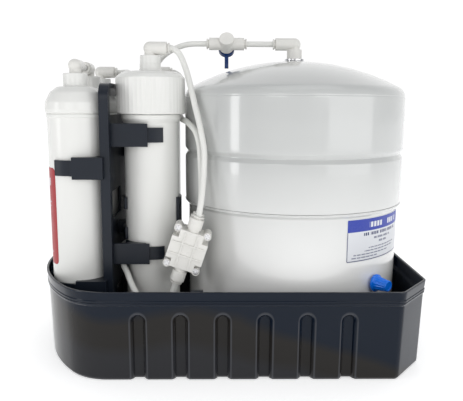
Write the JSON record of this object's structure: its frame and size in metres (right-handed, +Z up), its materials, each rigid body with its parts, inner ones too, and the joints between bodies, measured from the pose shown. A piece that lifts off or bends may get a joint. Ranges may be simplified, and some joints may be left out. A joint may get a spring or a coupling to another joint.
{
  "type": "reverse osmosis unit",
  "caption": "Compact reverse osmosis water unit: a tray that holds inline filters, a membrane housing and a pressure tank, with push-in tubing and valves.",
  "frame": {"origin": "middle of the tray's underside, on the surface it stands on", "axes": "+X from the filters to the tank, along the length; +Y to the back; +Z up"},
  "size_m": [0.422, 0.284, 0.3569],
  "materials": {
    "tray_plastic": "glossy",
    "bracket_plastic": "satin",
    "tank_paint": "gloss powder coat",
    "housing_white": "glossy",
    "fitting_plastic": "semi-gloss",
    "tube_plastic": "semi-gloss",
    "blue_plastic": "semi-gloss",
    "label_paper": "satin paper",
    "red_label": "satin film",
    "plated_steel": "bright",
    "pin_brass": "satin",
    "bladder_rubber": "matt",
    "element_wrap": "satin tape",
    "sediment_media": "matt",
    "carbon_media": "matt"
  },
  "bodies": {
    "unit": {"base_tray": "tray_plastic", "filter_bracket": "bracket_plastic", "upper_filter_clips": "bracket_plastic", "lower_filter_clips": "bracket_plastic", "membrane_hooks": "bracket_plastic", "tank_upper_shell": "tank_paint", "tank_lower_shell": "tank_paint", "tank_bladder": "bladder_rubber", "tank_base_ring": "tray_plastic", "tank_outlet_nipple": "plated_steel", "tank_label": "label_paper", "air_valve_stem": "plated_steel", "tank_elbow": "fitting_plastic", "ball_valve_body": "fitting_plastic", "membrane_housing": "housing_white", "membrane_cap": "housing_white", "membrane_cap_seal": "bladder_rubber", "membrane_element": "element_wrap", "membrane_elbow": "fitting_plastic", "sediment_filter_housing": "housing_white", "sediment_filter_core": "sediment_media", "sediment_filter_label": "red_label", "carbon_filter_housing": "housing_white", "carbon_filter_core": "carbon_media", "block_filter_housing": "housing_white", "block_filter_core": "carbon_media", "post_filter_housing": "housing_white", "post_filter_core": "carbon_media", "prefilter_elbows": "fitting_plastic", "post_filter_tee": "fitting_plastic", "lower_port_fittings": "fitting_plastic", "shutoff_front_cover": "fitting_plastic", "shutoff_rear_cover": "fitting_plastic", "shutoff_screws": "plated_steel", "tank_link_tube": "tube_plastic", "filter_link_tube": "tube_plastic", "membrane_feed_tube": "tube_plastic", "tank_line_tube": "tube_plastic", "product_tube": "tube_plastic", "feed_tube": "tube_plastic"},
    "lever_and_ball": {"ball_valve_lever": "blue_plastic", "ball_valve_ball": "plated_steel"},
    "air_cap": {"air_valve_cap": "blue_plastic"},
    "air_pin": {"air_valve_pin": "pin_brass"},
    "plunger": {"shutoff_plunger": "bladder_rubber"},
    "tank_elbow_collet": {"tank_elbow_collet": "fitting_plastic"},
    "ball_valve_tank_collet": {"ball_valve_tank_collet": "fitting_plastic"},
    "ball_valve_line_collet": {"ball_valve_line_collet": "fitting_plastic"},
    "membrane_elbow_collet": {"membrane_elbow_collet": "fitting_plastic"},
    "sediment_elbow_collet": {"sediment_elbow_collet": "fitting_plastic"},
    "carbon_elbow_collet": {"carbon_elbow_collet": "fitting_plastic"},
    "block_elbow_collet": {"block_elbow_collet": "fitting_plastic"},
    "tee_tank_collet": {"tee_tank_collet": "fitting_plastic"},
    "tee_product_collet": {"tee_product_collet": "fitting_plastic"},
    "shutoff_membrane_collet": {"shutoff_membrane_collet": "fitting_plastic"},
    "shutoff_product_collet": {"shutoff_product_collet": "fitting_plastic"},
    "shutoff_feed_collet": {"shutoff_feed_collet": "fitting_plastic"},
    "shutoff_permeate_collet": {"shutoff_permeate_collet": "fitting_plastic"}
  },
  "joints": [
    {"name": "ball_valve_turn", "type": "hinge", "parent": "unit", "child": "lever_and_ball", "pos_m": [-0.0015, 0, 0.3445], "axis": [0, 0.866, -0.5], "range_deg": [0, 90]},
    {"name": "air_cap_pull", "type": "slide", "parent": "unit", "child": "air_cap", "axis": [0.6388, -0.7694, 0], "range_m": [0, 0.02]},
    {"name": "air_pin_press", "type": "slide", "parent": "unit", "child": "air_pin", "axis": [-0.6388, 0.7694, 0], "range_m": [0, 0.001], "stiffness_N_per_m": 400, "springref_m": -0.001},
    {"name": "shutoff_plunger_travel", "type": "slide", "parent": "unit", "child": "plunger", "axis": [0, 1, 0], "range_m": [-0.0015, 0.0015], "stiffness_N_per_m": 600},
    {"name": "tank_elbow_collet_press", "type": "slide", "parent": "unit", "child": "tank_elbow_collet", "axis": [1, 0, 0], "range_m": [0, 0.0015], "stiffness_N_per_m": 500, "springref_m": -0.0005},
    {"name": "ball_valve_tank_collet_press", "type": "slide", "parent": "unit", "child": "ball_valve_tank_collet", "axis": [-1, 0, 0], "range_m": [0, 0.0015], "stiffness_N_per_m": 500, "springref_m": -0.0005},
    {"name": "ball_valve_line_collet_press", "type": "slide", "parent": "unit", "child": "ball_valve_line_collet", "axis": [1, 0, 0], "range_m": [0, 0.0015], "stiffness_N_per_m": 500, "springref_m": -0.0005},
    {"name": "membrane_elbow_collet_press", "type": "slide", "parent": "unit", "child": "membrane_elbow_collet", "axis": [-1, 0, 0], "range_m": [0, 0.0015], "stiffness_N_per_m": 500, "springref_m": -0.0005},
    {"name": "sediment_elbow_collet_press", "type": "slide", "parent": "unit", "child": "sediment_elbow_collet", "axis": [0, -1, 0], "range_m": [0, 0.0015], "stiffness_N_per_m": 500, "springref_m": -0.0005},
    {"name": "carbon_elbow_collet_press", "type": "slide", "parent": "unit", "child": "carbon_elbow_collet", "axis": [0, 1, 0], "range_m": [0, 0.0015], "stiffness_N_per_m": 500, "springref_m": -0.0005},
    {"name": "block_elbow_collet_press", "type": "slide", "parent": "unit", "child": "block_elbow_collet", "axis": [-1, 0, 0], "range_m": [0, 0.0015], "stiffness_N_per_m": 500, "springref_m": -0.0005},
    {"name": "tee_tank_collet_press", "type": "slide", "parent": "unit", "child": "tee_tank_collet", "axis": [0, 1, 0], "range_m": [0, 0.0015], "stiffness_N_per_m": 500, "springref_m": -0.0005},
    {"name": "tee_product_collet_press", "type": "slide", "parent": "unit", "child": "tee_product_collet", "axis": [-1, 0, 0], "range_m": [0, 0.0015], "stiffness_N_per_m": 500, "springref_m": -0.0005},
    {"name": "shutoff_membrane_collet_press", "type": "slide", "parent": "unit", "child": "shutoff_membrane_collet", "axis": [-0.3173, 0, -0.9483], "range_m": [0, 0.0015], "stiffness_N_per_m": 500, "springref_m": -0.0005},
    {"name": "shutoff_product_collet_press", "type": "slide", "parent": "unit", "child": "shutoff_product_collet", "axis": [-0.3173, 0, -0.9483], "range_m": [0, 0.0015], "stiffness_N_per_m": 500, "springref_m": -0.0005},
    {"name": "shutoff_feed_collet_press", "type": "slide", "parent": "unit", "child": "shutoff_feed_collet", "axis": [0.3173, 0, 0.9483], "range_m": [0, 0.0015], "stiffness_N_per_m": 500, "springref_m": -0.0005},
    {"name": "shutoff_permeate_collet_press", "type": "slide", "parent": "unit", "child": "shutoff_permeate_collet", "axis": [0.3173, 0, 0.9483], "range_m": [0, 0.0015], "stiffness_N_per_m": 500, "springref_m": -0.0005}
  ]
}
